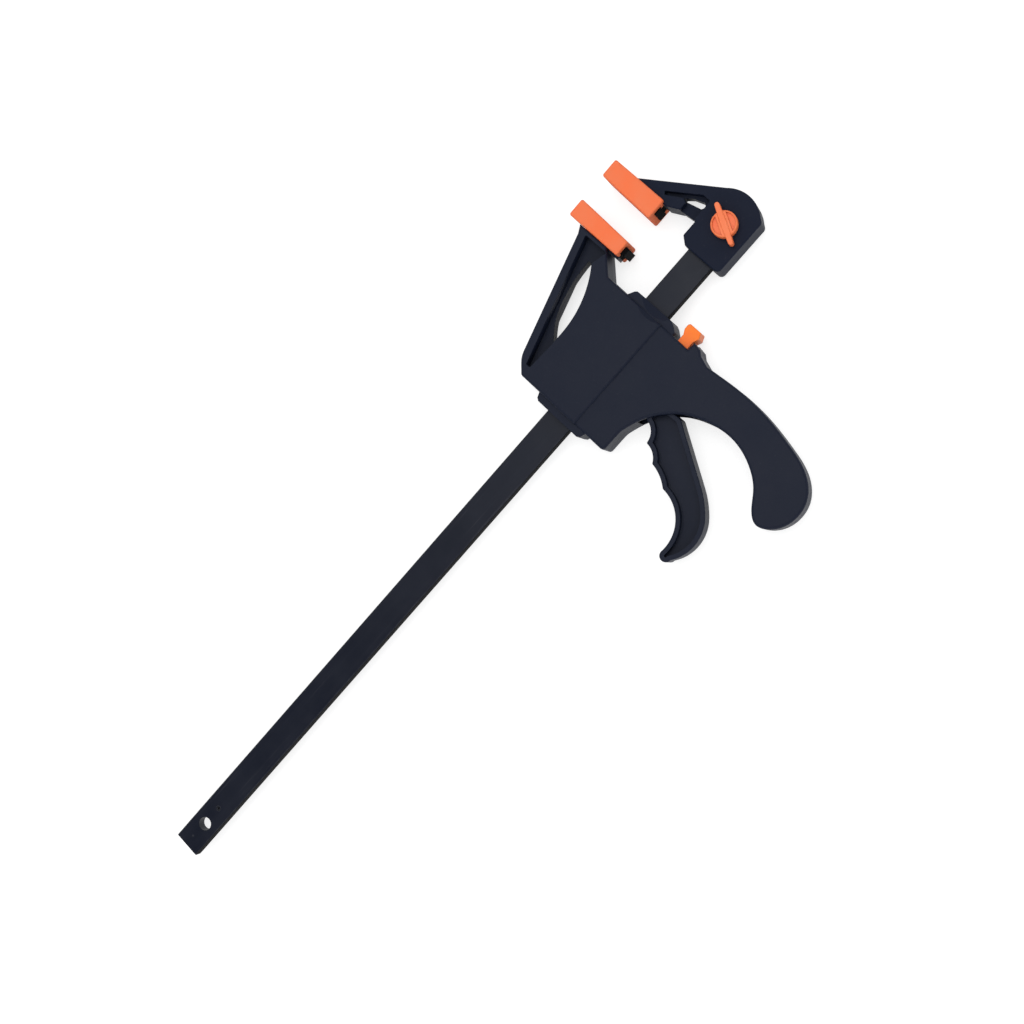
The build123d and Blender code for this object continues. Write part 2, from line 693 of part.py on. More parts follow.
def make_shell(side):
    """Half shell of the moving jaw: side is 1 for the knob side and -1 for the screw side."""
    half_sleeve = half_bar + collar_wall
    lip_end = body_front + lip_reach
    with BuildPart() as shell:
        extrude(body_outline.sketch.moved(body_plane().location), amount=side * half_grip)
        fillet(outer_faces(shell, side).edges(), body_edge)
        add(make_upper(side))
        # Collars round the bar at the rear and at the front mouth, and the mouth's scoop.
        with BuildSketch(body_plane()):
            with BuildLine():
                Polyline(
                    (collar_reach + 1.5, half_sleeve + 3.0),
                    (collar_reach, half_sleeve + 3.0),
                    (1.0, half_sleeve + 2.0),
                    (0, half_sleeve + 0.6),
                    (0, -half_sleeve - 1.2),
                    (1.0, -half_sleeve - 2.6),
                    (collar_reach, -half_sleeve - 3.4),
                    (collar_reach + 1.5, -half_sleeve - 3.4),
                    close=True,
                )
            make_face()
            with BuildLine():
                Polyline(
                    (body_front - 2.0, half_sleeve + 1.8),
                    (body_front, half_sleeve + 1.8),
                    (lip_end - 0.9, half_sleeve + 0.1),
                    (lip_end, half_sleeve - 1.0),
                    (lip_end, -half_sleeve + 1.0),
                    (lip_end - 0.7, -half_sleeve - 0.6),
                    (body_front + 1.1, -half_sleeve - 3.4),
                    (body_front - 2.0, -half_sleeve - 3.4),
                    close=True,
                )
            make_face()
        extrude(amount=side * half_collar)
        with Locations((carriage_x + body_front + scoop_reach, -1, side * scoop_height)):
            Sphere(scoop_radius, mode=Mode.SUBTRACT)
        add(one_side(make_foot(carriage_x + arm_reach, 1, moving_neck, moving_overhang), side))
        # Pocket beside the arm's web, and the lens-shaped opening through the web.
        with BuildSketch(body_plane(side * arm_web / 2)):
            with BuildLine():
                Polyline(
                    lens_rear,
                    lens_tip,
                    (8.8, above(18.0)),
                    (8.8, above(20.4)),
                    (arm_reach - 1.9, above(39.2)),
                    (arm_reach - 1.9, above(26.0)),
                    lens_front,
                )
                ThreePointArc(lens_front, lens_middle, lens_rear)
            make_face()
            fillet(vertices(), 0.6)
        extrude(amount=side * half_body, mode=Mode.SUBTRACT)
        with BuildSketch(body_plane()):
            with BuildLine():
                ThreePointArc(lens_front, lens_middle, lens_rear)
                Line(lens_rear, lens_tip)
                ThreePointArc(lens_tip, (31.0, above(24.6)), (42.6, above(29.3)))
                ThreePointArc((42.6, above(29.3)), (52.0, above(31.2)), lens_top)
                Line(lens_top, lens_front)
            make_face()
        extrude(amount=side * half_body, mode=Mode.SUBTRACT)
        # Chamber for the mechanism, open below for the trigger, and the hollow of the grip.
        with BuildSketch(body_plane()):
            with BuildLine():
                Polyline(
                    (rear_wall, chamber_top),
                    (front_inner, chamber_top),
                    (front_inner, below(29.0)),
                    (52.0, below(37.0)),
                    (47.6, below(47.0)),
                    (30.0, below(63.0)),
                    (mouth_start, below(38.0)),
                    (mouth_start, below(20.5)),
                    (rear_wall, below(17.1)),
                    close=True,
                )
            make_face()
            with Locations(*screw_spots):
                Circle(boss_radius, mode=Mode.SUBTRACT)
        extrude(amount=side * half_cavity, mode=Mode.SUBTRACT)
        grip_hollow = grip_core.sketch.moved(body_plane().location)
        extrude(grip_hollow, amount=side * half_cavity, mode=Mode.SUBTRACT)
        # Coring pockets above the chamber.
        with BuildSketch(body_plane()):
            with Locations(*[(core_first + core_pitch * step, core_height) for step in range(core_count)]):
                Rectangle(core_pitch - edge_wall, core_tall)
        extrude(amount=side * half_cavity, mode=Mode.SUBTRACT)
        # Fulcrum and stop for the brake plate's top, and the rib that carries its spring.
        nose_x = brake_reach + slip_gap + fulcrum_radius
        block_middle = (nose_x + front_inner + 1) / 2
        with BuildSketch(body_plane()):
            with Locations((nose_x, fulcrum_y)):
                Circle(fulcrum_radius)
            with Locations((block_middle, fulcrum_y + 1.5)):
                Rectangle(front_inner - nose_x + 1, 5.0)
            with Locations((brake_reach - brake_thick - 2.2, fulcrum_y + 1.5)):
                Rectangle(3.0, 5.0)
            with Locations((spring_rib_reach + spring_rib / 2, brake_spring_y - 0.5)):
                Rectangle(spring_rib, 15.0)
        extrude(amount=side * (half_cavity + 0.5))
        drive_peg = drive_spring_dia / 2 - drive_wire - cheek_gap
        brake_peg = brake_spring_dia / 2 - brake_wire - cheek_gap
        add(one_side(make_spigot(carriage_x + rear_wall, drive_spring_y, drive_peg), side))
        add(one_side(make_spigot(spring_rib_x + spring_rib, brake_spring_y, brake_peg), side))
        # Passages: the bar, the release button, the trigger pin's seat.
        with BuildSketch(cross_plane(carriage_x - 1)):
            Rectangle(bar_width + 2 * bar_fit, bar_thick + 2 * bar_fit)
        extrude(amount=lip_end + 2, mode=Mode.SUBTRACT)
        with BuildSketch(body_plane()):
            with BuildLine():
                Polyline(
                    (front_inner - 1, button_top + button_gap),
                    (body_front + lip_reach, button_top + button_gap),
                    (body_front + lip_reach, stem_base - button_travel),
                    (heel_x - carriage_x + button_gap, stem_base - button_travel),
                    (heel_x - carriage_x + button_gap, foot_y - button_lip - button_gap),
                    (brake_reach, foot_y - button_lip - button_gap),
                    (brake_reach, button_top + button_gap),
                    close=True,
                )
            make_face()
        extrude(amount=side * (button_width / 2 + button_gap), mode=Mode.SUBTRACT)
        with BuildSketch(body_plane(side * (half_cavity - 1))):
            with Locations((pivot_reach, pivot_y)):
                Circle(pivot_dia / 2 + running_fit)
        extrude(amount=side * (pin_seat + slip_gap + 1), mode=Mode.SUBTRACT)
        # Screw holes: pilot holes on the knob side, clearance holes and head recesses behind.
        with BuildSketch(body_plane()):
            with Locations(*screw_spots):
                Circle(case_screw_dia / 2 + (running_fit if side > 0 else case_screw_fit))
        screw_hole = case_screw_depth + 0.5 if side > 0 else half_body
        extrude(amount=side * screw_hole, mode=Mode.SUBTRACT)
        if side < 0:
            with BuildSketch(body_plane(-case_head_seat)):
                with Locations(*screw_spots):
                    Circle(case_head_dia / 2 + 2 * case_screw_fit)
            extrude(amount=-half_body, mode=Mode.SUBTRACT)
    return shell


housing_front = make_shell(1)
finish(housing_front, "housing_front")
housing_back = make_shell(-1)
finish(housing_back, "housing_back")

with BuildPart() as housing_screws:
    with BuildSketch(body_plane(-case_head_seat)):
        with Locations(*screw_spots):
            Circle(case_screw_dia / 2)
    extrude(amount=case_head_seat + case_screw_depth)
    with BuildSketch(body_plane(-case_head_seat)):
        with Locations(*screw_spots):
            Circle(case_head_dia / 2)
    extrude(amount=-case_head_thick)
    fillet(faces().sort_by(Axis.Z)[: len(screw_spots)].edges(), 0.5)
    with BuildSketch(body_plane(-case_head_seat - case_head_thick)):
        with Locations(*screw_spots):
            Rectangle(cross_length, cross_width)
            Rectangle(cross_width, cross_length)
    extrude(amount=cross_depth, mode=Mode.SUBTRACT)
finish(housing_screws, "housing_screws")
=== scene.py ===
import bmesh
import bpy
import numpy as np
from mathutils import Matrix, Vector


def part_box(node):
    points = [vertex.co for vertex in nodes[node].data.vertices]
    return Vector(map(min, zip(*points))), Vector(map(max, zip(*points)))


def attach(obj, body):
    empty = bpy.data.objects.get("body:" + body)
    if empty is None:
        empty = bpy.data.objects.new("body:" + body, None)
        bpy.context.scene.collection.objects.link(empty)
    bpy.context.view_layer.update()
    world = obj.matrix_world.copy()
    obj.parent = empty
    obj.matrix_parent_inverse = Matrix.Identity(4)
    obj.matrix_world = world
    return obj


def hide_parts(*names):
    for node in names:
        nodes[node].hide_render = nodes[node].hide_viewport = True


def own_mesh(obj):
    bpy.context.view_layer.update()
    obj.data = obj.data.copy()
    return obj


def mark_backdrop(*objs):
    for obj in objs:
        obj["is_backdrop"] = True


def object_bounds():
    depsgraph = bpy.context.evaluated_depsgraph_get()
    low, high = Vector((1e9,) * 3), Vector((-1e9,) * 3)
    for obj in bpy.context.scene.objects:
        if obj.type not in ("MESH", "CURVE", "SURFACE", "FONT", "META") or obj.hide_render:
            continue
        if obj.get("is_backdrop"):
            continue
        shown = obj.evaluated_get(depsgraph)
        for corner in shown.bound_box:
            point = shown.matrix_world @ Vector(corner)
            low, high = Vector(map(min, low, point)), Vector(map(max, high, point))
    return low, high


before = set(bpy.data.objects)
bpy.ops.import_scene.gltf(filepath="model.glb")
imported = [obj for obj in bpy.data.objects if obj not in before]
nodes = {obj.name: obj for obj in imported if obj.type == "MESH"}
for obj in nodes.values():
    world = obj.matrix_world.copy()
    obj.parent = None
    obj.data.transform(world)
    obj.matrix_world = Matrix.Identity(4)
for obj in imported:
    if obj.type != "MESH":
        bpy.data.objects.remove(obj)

scene = bpy.context.scene
cadBox = [list(corner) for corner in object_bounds()]
print("frame loaded:", len(nodes), "clamp parts")


camera = {
    "place": (0.33593, -0.17789, 0.62737),
    "right": (0.65079513, -0.69477921, -0.30618221),
    "up": (0.73802211, 0.67357695, 0.04021764),
    "back": (0.1782949, -0.25214269, 0.95112302),
    "lens": 50.0,
    "sensor": 36.0,
    "near": 0.02,
    "far": 20.0,
}


def placeCamera():
    data = bpy.data.cameras.new("benchCamera")
    data.lens = camera["lens"]
    data.sensor_width = camera["sensor"]
    data.clip_start = camera["near"]
    data.clip_end = camera["far"]
    seat = bpy.data.objects.new("benchCamera", data)
    scene.collection.objects.link(seat)
    turn = Matrix([camera["right"], camera["up"], camera["back"]]).transposed()
    seat.matrix_world = Matrix.Translation(Vector(camera["place"])) @ turn.to_4x4()
    scene.camera = seat


placeCamera()


# A grid of points, rows along v and columns along u, joined by quads; a closed way joins its last
# line to its first.
def meshFromGrid(name, points, closeU=False, closeV=False):
    rows, cols = points.shape[:2]
    index = np.arange(rows * cols).reshape(rows, cols)
    if closeU:
        index = np.hstack([index, index[:, :1]])
    if closeV:
        index = np.vstack([index, index[:1]])
    quads = np.stack([index[:-1, :-1], index[:-1, 1:], index[1:, 1:], index[1:, :-1]], -1)
    mesh = bpy.data.meshes.new(name)
    mesh.from_pydata(points.reshape(-1, 3), [], quads.reshape(-1, 4).tolist())
    mesh.update()
    thing = bpy.data.objects.new(name, mesh)
    scene.collection.objects.link(thing)
    return thing


closing = {
    "mergeWithin": 1e-7,
    "sharpFrom": 0.6,  # radians between two faces
}


# Merges the poles, turns every face outwards, and shades smooth except across sharp corners.
def closeAndTurnOut(thing):
    solid = bmesh.new()
    solid.from_mesh(thing.data)
    bmesh.ops.remove_doubles(solid, verts=solid.verts, dist=closing["mergeWithin"])
    bmesh.ops.recalc_face_normals(solid, faces=solid.faces)
    solid.to_mesh(thing.data)
    solid.free()
    thing.data.polygons.foreach_set("use_smooth", np.ones(len(thing.data.polygons), bool))
    thing.data.set_sharp_from_angle(angle=closing["sharpFrom"])
    thing.data.update()


def addNode(tree, kind, **settings):
    node = tree.nodes.new(kind)
    for key, value in settings.items():
        setattr(node, key, value)
    return node


# Links a socket to another node's output, or sets its own value.
def plug(tree, socket, item):
    if isinstance(item, bpy.types.NodeSocket):
        tree.links.new(item, socket)
    else:
        socket.default_value = item


# Feeds sockets by name; underscores stand for spaces.
def feed(tree, node, **inputs):
    for key, value in inputs.items():
        plug(tree, node.inputs[key.replace("_", " ")], value)
    return node


def noise(tree, vector, scale, detail, roughness):
    node = addNode(tree, "ShaderNodeTexNoise")
    feed(tree, node, Vector=vector, Scale=scale, Detail=detail, Roughness=roughness)
    return node.outputs["Fac"]


def ramp(tree, value, low, high, outLow=0.0, outHigh=1.0):
    node = addNode(tree, "ShaderNodeMapRange", clamp=True)
    for socket, item in zip(node.inputs[:5], (value, low, high, outLow, outHigh)):
        plug(tree, socket, item)
    return node.outputs[0]


def maths(tree, operation, first, second=0.0):
    node = addNode(tree, "ShaderNodeMath", operation=operation)
    for socket, item in zip(node.inputs, (first, second)):
        plug(tree, socket, item)
    return node.outputs[0]


def times(tree, first, second):
    return maths(tree, "MULTIPLY", first, second)


def mixColour(tree, amount, first, second):
    node = addNode(tree, "ShaderNodeMix", data_type="RGBA")
    for socket, item in zip((node.inputs[0], node.inputs[6], node.inputs[7]), (amount, first, second)):
        plug(tree, socket, item)
    return node.outputs[2]


def split(tree, vector):
    node = addNode(tree, "ShaderNodeSeparateXYZ")
    tree.links.new(vector, node.inputs[0])
    return node.outputs


def newGroup(name, inputs, outputs):
    tree = bpy.data.node_groups.new(name, "ShaderNodeTree")
    for label, kind, value in inputs:
        socket = tree.interface.new_socket(label, in_out="INPUT", socket_type=kind)
        if value is not None:
            socket.default_value = value
    for label, kind in outputs:
        tree.interface.new_socket(label, in_out="OUTPUT", socket_type=kind)
    source = addNode(tree, "NodeGroupInput").outputs
    sink = addNode(tree, "NodeGroupOutput")
    return tree, source, sink


def useGroup(tree, group, **inputs):
    node = addNode(tree, "ShaderNodeGroup", node_tree=group)
    return feed(tree, node, **inputs).outputs


vectorKind, floatKind = "NodeSocketVector", "NodeSocketFloat"

# A noise is set by its detail and roughness, and a fade by where it starts and ends.
grainShape = {
    "cellsPerMetre": 2500.0,
    "flowPerMetre": 35.0,
    "cellSoftness": 0.6,
    "cellShare": 0.6,
    "finer": 1.9,  # the fine noise's scale over the cells'
    "fineNoise": (2.0, 0.5),
    "flowNoise": (4.0, 0.6),
    "specks": 0.35,  # the specks' scale over the cells'
    "speckNoise": (1.0, 0.5),
    "speckFade": (0.66, 0.76),
}


# Spark-eroded mould grain: height = share x distance in soft cells + a finer noise. Flow is a slow
# noise over the whole part, and specks are the peaks of a coarser one.
def mouldGrainGroup():
    inputs = [
        ("Vector", vectorKind, None),
        ("Cells per metre", floatKind, grainShape["cellsPerMetre"]),
        ("Flow per metre", floatKind, grainShape["flowPerMetre"]),
    ]
    outputs = [("Height", floatKind), ("Flow", floatKind), ("Speck", floatKind)]
    tree, source, sink = newGroup("mouldGrain", inputs, outputs)
    place, cellScale = source["Vector"], source["Cells per metre"]
    cells = addNode(tree, "ShaderNodeTexVoronoi", feature="SMOOTH_F1")
    feed(tree, cells, Vector=place, Scale=cellScale, Smoothness=grainShape["cellSoftness"])
    fine = noise(tree, place, times(tree, cellScale, grainShape["finer"]), *grainShape["fineNoise"])
    height = maths(tree, "ADD", times(tree, cells.outputs["Distance"], grainShape["cellShare"]), fine)
    flow = noise(tree, place, source["Flow per metre"], *grainShape["flowNoise"])
    peaks = noise(tree, place, times(tree, cellScale, grainShape["specks"]), *grainShape["speckNoise"])
    feed(tree, sink, Height=height, Flow=flow, Speck=ramp(tree, peaks, *grainShape["speckFade"]))
    return tree


wearShape = {
    "width": 0.0006,
    "breakupPerMetre": 300.0,
    "amount": 0.6,
    "samples": 4,
    "turnFade": (0.998, 0.90),  # cosine between the two normals
    "patchNoise": (5.0, 0.65),
    "patchFade": (0.42, 0.62),
}


# Worn corners: where the face normal turns from its rounded neighbour's, broken up by noise.
def edgeWearGroup():
    inputs = [
        ("Vector", vectorKind, None),
        ("Width", floatKind, wearShape["width"]),
        ("Breakup per metre", floatKind, wearShape["breakupPerMetre"]),
        ("Amount", floatKind, wearShape["amount"]),
    ]
    tree, source, sink = newGroup("edgeWear", inputs, [("Wear", floatKind), ("Rounded", vectorKind)])
    rounded = addNode(tree, "ShaderNodeBevel", samples=wearShape["samples"])
    feed(tree, rounded, Radius=source["Width"])
    plain = addNode(tree, "ShaderNodeNewGeometry")
    dot = addNode(tree, "ShaderNodeVectorMath", operation="DOT_PRODUCT")
    tree.links.new(rounded.outputs["Normal"], dot.inputs[0])
    tree.links.new(plain.outputs["Normal"], dot.inputs[1])
    edge = ramp(tree, dot.outputs["Value"], *wearShape["turnFade"])
    breakup = noise(tree, source["Vector"], source["Breakup per metre"], *wearShape["patchNoise"])
    patches = ramp(tree, breakup, *wearShape["patchFade"])
    wear = times(tree, times(tree, edge, patches), source["Amount"])
    feed(tree, sink, Wear=wear, Rounded=rounded.outputs["Normal"])
    return tree


dustShape = {
    "reach": 0.002,
    "film": 0.15,
    "corners": 0.5,
    "samples": 4,
    "cornerFade": (0.75, 0.35),  # open share of the sky over a point
    "upFade": (0.5, 1.0),
    "patchesPerMetre": 90.0,
    "patchNoise": (5.0, 0.7),
    "patchFade": (0.35, 0.75),
}


# A corner mask from ambient occlusion, and a thinner film on faces that look up. The black
# parts take it as pale dust; on the orange and bright steel parts it makes the nooks darker.
def dustGroup():
    inputs = [
        ("Vector", vectorKind, None),
        ("Reach", floatKind, dustShape["reach"]),
        ("Film", floatKind, dustShape["film"]),
        ("Corners", floatKind, dustShape["corners"]),
    ]
    tree, source, sink = newGroup("dustFilm", inputs, [("Dust", floatKind)])
    nook = addNode(tree, "ShaderNodeAmbientOcclusion", samples=dustShape["samples"], only_local=True)
    feed(tree, nook, Distance=source["Reach"])
    corner = times(tree, ramp(tree, nook.outputs["AO"], *dustShape["cornerFade"]), source["Corners"])
    normal = split(tree, addNode(tree, "ShaderNodeNewGeometry").outputs["Normal"])
    film = times(tree, ramp(tree, normal["Z"], *dustShape["upFade"]), source["Film"])
    cloud = noise(tree, source["Vector"], dustShape["patchesPerMetre"], *dustShape["patchNoise"])
    patch = ramp(tree, cloud, *dustShape["patchFade"])
    feed(tree, sink, Dust=times(tree, maths(tree, "ADD", corner, film), patch))
    return tree


lineShape = {
    "linesPerMetre": 2600.0,
    "stretch": 0.012,  # scale along X over the scale across it
    "fineNoise": (3.0, 0.6),
    "coarser": 0.25,
    "coarseNoise": (2.0, 0.5),
    "scratchFade": (0.40, 0.47),
}


# Draw marks of rolled bar: noise stretched along X, with rarer deep scratches.
def drawLinesGroup():
    inputs = [
        ("Vector", vectorKind, None),
        ("Lines per metre", floatKind, lineShape["linesPerMetre"]),
        ("Stretch", floatKind, lineShape["stretch"]),
    ]
    outputs = [("Height", floatKind), ("Streak", floatKind), ("Scratch", floatKind)]
    tree, source, sink = newGroup("drawLines", inputs, outputs)
    part = split(tree, source["Vector"])
    squeezed = addNode(tree, "ShaderNodeCombineXYZ")
    feed(tree, squeezed, X=times(tree, part["X"], source["Stretch"]), Y=part["Y"], Z=part["Z"])
    lines = source["Lines per metre"]
    fine = noise(tree, squeezed.outputs[0], lines, *lineShape["fineNoise"])
    coarseScale = times(tree, lines, lineShape["coarser"])
    coarse = noise(tree, squeezed.outputs[0], coarseScale, *lineShape["coarseNoise"])
    scratch = ramp(tree, times(tree, fine, coarse), *lineShape["scratchFade"])
    feed(tree, sink, Height=fine, Streak=coarse, Scratch=scratch)
    return tree


mouldGrain = mouldGrainGroup()
edgeWear = edgeWearGroup()
dustFilm = dustGroup()
drawLines = drawLinesGroup()
print("shared effects built")


# Every finish starts with one plain shader, and its patterns read the place on the piece in metres.
def startMaterial(name):
    material = bpy.data.materials.new(name)
    material.use_nodes = True
    tree = material.node_tree
    tree.nodes.clear()
    out = addNode(tree, "ShaderNodeOutputMaterial")
    shader = addNode(tree, "ShaderNodeBsdfPrincipled")
    tree.links.new(shader.outputs["BSDF"], out.inputs["Surface"])
    place = addNode(tree, "ShaderNodeTexCoord").outputs["Object"]
    return material, tree, shader, place


def bumpFrom(tree, height, distance, over=None):
    node = addNode(tree, "ShaderNodeBump")
    feed(tree, node, Height=height, Distance=distance)
    if over is not None:
        feed(tree, node, Normal=over)
    return node.outputs["Normal"]


# A fade with four numbers gives where it starts and ends, then its values there.
nylon = {
    "colour": (0.0056, 0.0092, 0.0235, 1),
    "bleached": (0.0085, 0.0125, 0.0275, 1),
    "bleaching": (0.35, 0.75, 0.0, 0.6),
    "worn": (0.045, 0.049, 0.060, 1),
    "wear": {"Width": 0.0006, "Amount": 0.35},
    "specks": 0.10,
    "dust": (0.11, 0.105, 0.10, 1),
    "dusting": {"Film": 0.02, "Corners": 0.12},
    "rough": (0.2, 0.8, 0.44, 0.60),
    "ior": 1.5,
    "grain": 0.000022,
    "seam": 0.00012,
    "seamSoft": 2.2,  # where the seam's shade ends, over its width
    "seamDepth": 4.0,
    "seamColour": (0.002, 0.002, 0.003, 1),
    "feet": (0.3378, 0.3681, 0.0255),  # from x, to x, above y
    # painted shade colour for the feet
    "feetShadeColour": (0.0012, 0.0014, 0.0022, 1),
    "feetRough": 0.97,
}


# Painted shade: the T-shaped feet inside the pads lie in the pads' shade and are painted near
# black; the mask picks them out by place.
def feetShadeMask(tree, part):
    fromX, toX, aboveY = nylon["feet"]
    after = maths(tree, "GREATER_THAN", part["X"], fromX)
    before = maths(tree, "LESS_THAN", part["X"], toX)
    return times(tree, times(tree, after, before), maths(tree, "GREATER_THAN", part["Y"], aboveY))


def blackNylon(name, seam, gloss):
    material, tree, shader, place = startMaterial(name)
    grain = useGroup(tree, mouldGrain, Vector=place)
    wear = useGroup(tree, edgeWear, Vector=place, **nylon["wear"])
    dust = useGroup(tree, dustFilm, Vector=place, **nylon["dusting"])
    bleach = ramp(tree, grain["Flow"], *nylon["bleaching"])
    base = mixColour(tree, bleach, nylon["colour"], nylon["bleached"])
    base = mixColour(tree, times(tree, grain["Speck"], nylon["specks"]), base, nylon["worn"])
    base = mixColour(tree, wear["Wear"], base, nylon["worn"])
    base = mixColour(tree, dust["Dust"], base, nylon["dust"])
    part = split(tree, place)
    footShade = feetShadeMask(tree, part)
    # painted shade: the feet are turned near black
    base = mixColour(tree, footShade, base, nylon["feetShadeColour"])
    height = grain["Height"]
    if seam:
        # The two half shells meet at z = 0: a hairline groove there.
        off = maths(tree, "ABSOLUTE", part["Z"])
        line = ramp(tree, off, nylon["seam"], nylon["seam"] * nylon["seamSoft"], 1.0, 0.0)
        base = mixColour(tree, line, base, nylon["seamColour"])
        height = maths(tree, "SUBTRACT", height, times(tree, line, nylon["seamDepth"]))
    rough = ramp(tree, grain["Flow"], *nylon["rough"])
    rough = maths(tree, "MAXIMUM", rough, times(tree, footShade, nylon["feetRough"]))
    feed(tree, shader, Base_Color=base, Roughness=rough)
    feed(tree, shader, Normal=bumpFrom(tree, height, nylon["grain"], wear["Rounded"]))
    shader.inputs["IOR"].default_value = nylon["ior"]
    shader.inputs["Specular IOR Level"].default_value = gloss
    return material


steelBar = {
    "colour": (0.0040, 0.0066, 0.0165, 1),
    "rubbed": (0.0085, 0.0115, 0.0235, 1),
    "cloudsPerMetre": 55.0,
    "cloudNoise": (5.0, 0.6),
    "rubbing": (0.35, 0.7, 0.0, 0.6),
    "streaking": (0.45, 0.7, 0.0, 0.3),
    "bare": (0.16, 0.16, 0.165, 1),
    "scratches": 0.16,
    "wear": {"Width": 0.0004, "Amount": 0.45},
    "wornMetal": 0.8,
    "dusting": {"Film": 0.02, "Corners": 0.3},
    "rough": (0.3, 0.7, 0.34, 0.46),
    "streakRough": 0.08,
    "gloss": 0.24,
    "marks": 0.000012,
    # near black for the narrow faces: mill scale and painted shade
    "scale": (0.0008, 0.0010, 0.0018, 1),
    "scaleFrom": 0.00672,  # the narrow faces lie beyond this y
    "scaleFade": 0.0002,
    "scaleRough": 0.95,
    "punch": (-0.0090, 0.0006, 0.0025),
    "punchRadius": 0.0007,
    "punchColour": (0.06, 0.062, 0.07, 1),
    "punchShare": 0.5,
    "punchDepth": 12.0,
}


# A centre punch mark near the free end: a small cone pressed in, 1 at its middle and 0 at its rim.
def punchMark(tree, place):
    gap = addNode(tree, "ShaderNodeVectorMath", operation="DISTANCE")
    tree.links.new(place, gap.inputs[0])
    gap.inputs[1].default_value = steelBar["punch"]
    return ramp(tree, gap.outputs["Value"], 0.0, steelBar["punchRadius"], 1.0, 0.0)


# The narrow faces are painted near black and rough: partly mill scale, partly painted shade
# that darkens these sides.
def millScaleAndShade(tree, place):
    off = maths(tree, "ABSOLUTE", split(tree, place)["Y"])
    return ramp(tree, off, steelBar["scaleFrom"], steelBar["scaleFrom"] + steelBar["scaleFade"])


def blackSteel():
    material, tree, shader, place = startMaterial("blackSteel")
    lines = useGroup(tree, drawLines, Vector=place)
    wear = useGroup(tree, edgeWear, Vector=place, **steelBar["wear"])
    dust = useGroup(tree, dustFilm, Vector=place, **steelBar["dusting"])
    cloud = noise(tree, place, steelBar["cloudsPerMetre"], *steelBar["cloudNoise"])
    rubbed = ramp(tree, cloud, *steelBar["rubbing"])
    base = mixColour(tree, rubbed, steelBar["colour"], steelBar["rubbed"])
    streaked = ramp(tree, lines["Streak"], *steelBar["streaking"])
    base = mixColour(tree, streaked, base, steelBar["rubbed"])
    base = mixColour(tree, times(tree, lines["Scratch"], steelBar["scratches"]), base, steelBar["bare"])
    base = mixColour(tree, wear["Wear"], base, steelBar["bare"])
    base = mixColour(tree, dust["Dust"], base, nylon["dust"])
    dent = punchMark(tree, place)
    base = mixColour(tree, times(tree, dent, steelBar["punchShare"]), base, steelBar["punchColour"])
    # the narrow faces painted near black, partly as painted shade
    edge = millScaleAndShade(tree, place)
    base = mixColour(tree, edge, base, steelBar["scale"])
    streakRough = times(tree, lines["Streak"], steelBar["streakRough"])
    rough = maths(tree, "ADD", ramp(tree, cloud, *steelBar["rough"]), streakRough)
    rough = maths(tree, "MAXIMUM", rough, times(tree, edge, steelBar["scaleRough"]))
    metal = times(tree, wear["Wear"], steelBar["wornMetal"])
    height = maths(tree, "SUBTRACT", lines["Height"], times(tree, dent, steelBar["punchDepth"]))
    feed(tree, shader, Base_Color=base, Roughness=rough, Metallic=metal)
    feed(tree, shader, Normal=bumpFrom(tree, height, steelBar["marks"], wear["Rounded"]))
    shader.inputs["Specular IOR Level"].default_value = steelBar["gloss"]
    return material


brightSteels = {
    "springSteel": {
        "colour": (0.40, 0.40, 0.41, 1),
        "stained": (0.24, 0.23, 0.22, 1),
        "rough": (0.26, 0.42),
        "lines": 3000.0,
    },
    "zincSteel": {
        "colour": (0.62, 0.63, 0.65, 1),
        "stained": (0.45, 0.46, 0.50, 1),
        "rough": (0.28, 0.45),
        "lines": 2200.0,
    },
    "plateSteel": {
        "colour": (0.28, 0.28, 0.29, 1),
        "stained": (0.15, 0.14, 0.14, 1),
        "rough": (0.32, 0.5),
        "lines": 2600.0,
    },
}
steelSurface = {
    "stretch": 0.2,
    "stainsPerMetre": 400.0,
    "stainNoise": (4.0, 0.6),
    "staining": (0.4, 0.7, 0.0, 0.7),
    "dusting": {"Reach": 0.001, "Film": 0.03, "Corners": 0.8},
    # darker in the corners and nooks, with less metal there
    "dust": (0.05, 0.045, 0.04, 1),
    "metalUnderDust": (0.0, 0.6, 1.0, 0.4),
    "streaks": (0.3, 0.7),
    "marks": 0.000008,
}


# Plain steel: bright metal, faint stains, turned or ground marks.
def brightSteel(name, colour, stained, rough, lines):
    material, tree, shader, place = startMaterial(name)
    marks = useGroup(tree, drawLines, Vector=place, Lines_per_metre=lines, Stretch=steelSurface["stretch"])
    cloud = noise(tree, place, steelSurface["stainsPerMetre"], *steelSurface["stainNoise"])
    dust = useGroup(tree, dustFilm, Vector=place, **steelSurface["dusting"])
    base = mixColour(tree, ramp(tree, cloud, *steelSurface["staining"]), colour, stained)
    base = mixColour(tree, dust["Dust"], base, steelSurface["dust"])
    metal = ramp(tree, dust["Dust"], *steelSurface["metalUnderDust"])
    feed(tree, shader, Base_Color=base, Metallic=metal)
    feed(tree, shader, Roughness=ramp(tree, marks["Streak"], *steelSurface["streaks"], *rough))
    feed(tree, shader, Normal=bumpFrom(tree, marks["Height"], steelSurface["marks"]))
    return material


